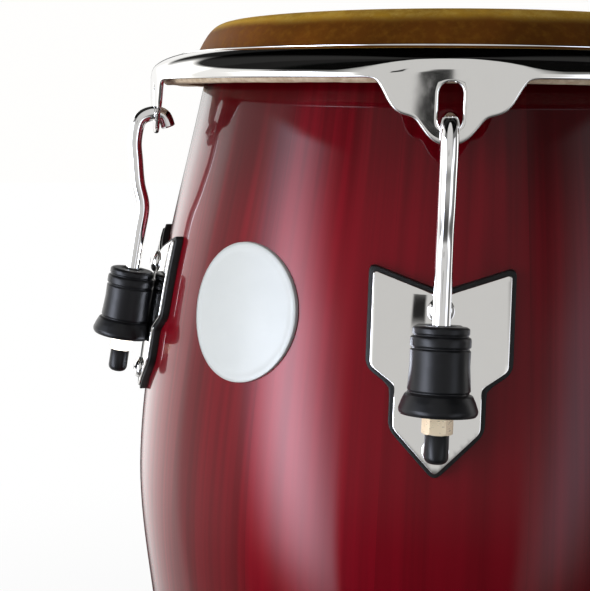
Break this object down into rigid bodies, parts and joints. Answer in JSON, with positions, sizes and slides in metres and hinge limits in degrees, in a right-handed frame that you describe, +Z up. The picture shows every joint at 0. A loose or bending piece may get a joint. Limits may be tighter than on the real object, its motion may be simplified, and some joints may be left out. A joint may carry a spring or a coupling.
{
  "type": "quinto conga",
  "caption": "Tall barrel hand drum with a stave shell, a rawhide head and a steel rim drawn down by hooked tension rods and side lugs.",
  "frame": {"origin": "centre of the open foot, on the drum's axis at the floor", "axes": "+Z up the drum's axis to the playing head; -Y towards lug 1, the others following anticlockwise seen from above"},
  "size_m": [0.3858, 0.3764, 0.762],
  "materials": {
    "lacquered_wood": "clear ruby gloss lacquer over wood",
    "rawhide": "semi-gloss rawhide, golden",
    "chrome": "polished",
    "plain_steel": "zinc plated",
    "brass": "satin",
    "black_rubber": "satin moulded",
    "silver_badge": "satin"
  },
  "bodies": {
    "shell_assembly": {"shell": "lacquered_wood", "foot_ring": "black_rubber", "badge": "silver_badge", "lug_plate_1": "chrome", "plate_gasket_1": "black_rubber", "lug_cup_1": "black_rubber", "lug_washer_1": "plain_steel", "bolt_top_1": "chrome", "bolt_bottom_1": "chrome", "backing_plate_1": "plain_steel", "lug_plate_2": "chrome", "plate_gasket_2": "black_rubber", "lug_cup_2": "black_rubber", "lug_washer_2": "plain_steel", "bolt_top_2": "chrome", "bolt_bottom_2": "chrome", "backing_plate_2": "plain_steel", "lug_plate_3": "chrome", "plate_gasket_3": "black_rubber", "lug_cup_3": "black_rubber", "lug_washer_3": "plain_steel", "bolt_top_3": "chrome", "bolt_bottom_3": "chrome", "backing_plate_3": "plain_steel", "lug_plate_4": "chrome", "plate_gasket_4": "black_rubber", "lug_cup_4": "black_rubber", "lug_washer_4": "plain_steel", "bolt_top_4": "chrome", "bolt_bottom_4": "chrome", "backing_plate_4": "plain_steel", "lug_plate_5": "chrome", "plate_gasket_5": "black_rubber", "lug_cup_5": "black_rubber", "lug_washer_5": "plain_steel", "bolt_top_5": "chrome", "bolt_bottom_5": "chrome", "backing_plate_5": "plain_steel"},
    "tuned_head": {"rim": "chrome", "flesh_hoop": "plain_steel", "head_skin": "rawhide"},
    "rod_1": {"hook_rod_1": "chrome"},
    "nut_1": {"tuning_nut_1": "brass", "rod_cap_1": "black_rubber"},
    "rod_2": {"hook_rod_2": "chrome"},
    "nut_2": {"tuning_nut_2": "brass", "rod_cap_2": "black_rubber"},
    "rod_3": {"hook_rod_3": "chrome"},
    "nut_3": {"tuning_nut_3": "brass", "rod_cap_3": "black_rubber"},
    "rod_4": {"hook_rod_4": "chrome"},
    "nut_4": {"tuning_nut_4": "brass", "rod_cap_4": "black_rubber"},
    "rod_5": {"hook_rod_5": "chrome"},
    "nut_5": {"tuning_nut_5": "brass", "rod_cap_5": "black_rubber"}
  },
  "joints": [
    {"name": "head_travel", "type": "slide", "parent": "shell_assembly", "child": "tuned_head", "axis": [0, 0, 1], "range_m": [0, 0.008]},
    {"name": "rod_1_draw", "type": "slide", "parent": "shell_assembly", "child": "rod_1", "axis": [0, 0.1582, 0.9874], "range_m": [0, 0.0082]},
    {"name": "nut_1_turn", "type": "hinge", "parent": "shell_assembly", "child": "nut_1", "pos_m": [0, -0.17925, 0.6239], "axis": [0, 0.1582, 0.9874], "range_deg": [-2340, 0]},
    {"name": "rod_2_draw", "type": "slide", "parent": "shell_assembly", "child": "rod_2", "axis": [-0.1504, 0.0489, 0.9874], "range_m": [0, 0.0082]},
    {"name": "nut_2_turn", "type": "hinge", "parent": "shell_assembly", "child": "nut_2", "pos_m": [0.17048, -0.05539, 0.6239], "axis": [-0.1504, 0.0489, 0.9874], "range_deg": [-2340, 0]},
    {"name": "rod_3_draw", "type": "slide", "parent": "shell_assembly", "child": "rod_3", "axis": [-0.093, -0.128, 0.9874], "range_m": [0, 0.0082]},
    {"name": "nut_3_turn", "type": "hinge", "parent": "shell_assembly", "child": "nut_3", "pos_m": [0.10536, 0.14502, 0.6239], "axis": [-0.093, -0.128, 0.9874], "range_deg": [-2340, 0]},
    {"name": "rod_4_draw", "type": "slide", "parent": "shell_assembly", "child": "rod_4", "axis": [0.093, -0.128, 0.9874], "range_m": [0, 0.0082]},
    {"name": "nut_4_turn", "type": "hinge", "parent": "shell_assembly", "child": "nut_4", "pos_m": [-0.10536, 0.14502, 0.6239], "axis": [0.093, -0.128, 0.9874], "range_deg": [-2340, 0]},
    {"name": "rod_5_draw", "type": "slide", "parent": "shell_assembly", "child": "rod_5", "axis": [0.1504, 0.0489, 0.9874], "range_m": [0, 0.0082]},
    {"name": "nut_5_turn", "type": "hinge", "parent": "shell_assembly", "child": "nut_5", "pos_m": [-0.17048, -0.05539, 0.6239], "axis": [0.1504, 0.0489, 0.9874], "range_deg": [-2340, 0]}
  ],
  "couplings": [
    {"joint": "rod_1_draw", "follows": "head_travel", "ratio": 1.0127},
    {"joint": "nut_1_turn", "follows": "head_travel", "rad_per_m": -5090.6},
    {"joint": "rod_2_draw", "follows": "head_travel", "ratio": 1.0127},
    {"joint": "nut_2_turn", "follows": "head_travel", "rad_per_m": -5090.6},
    {"joint": "rod_3_draw", "follows": "head_travel", "ratio": 1.0127},
    {"joint": "nut_3_turn", "follows": "head_travel", "rad_per_m": -5090.6},
    {"joint": "rod_4_draw", "follows": "head_travel", "ratio": 1.0127},
    {"joint": "nut_4_turn", "follows": "head_travel", "rad_per_m": -5090.6},
    {"joint": "rod_5_draw", "follows": "head_travel", "ratio": 1.0127},
    {"joint": "nut_5_turn", "follows": "head_travel", "rad_per_m": -5090.6}
  ]
}
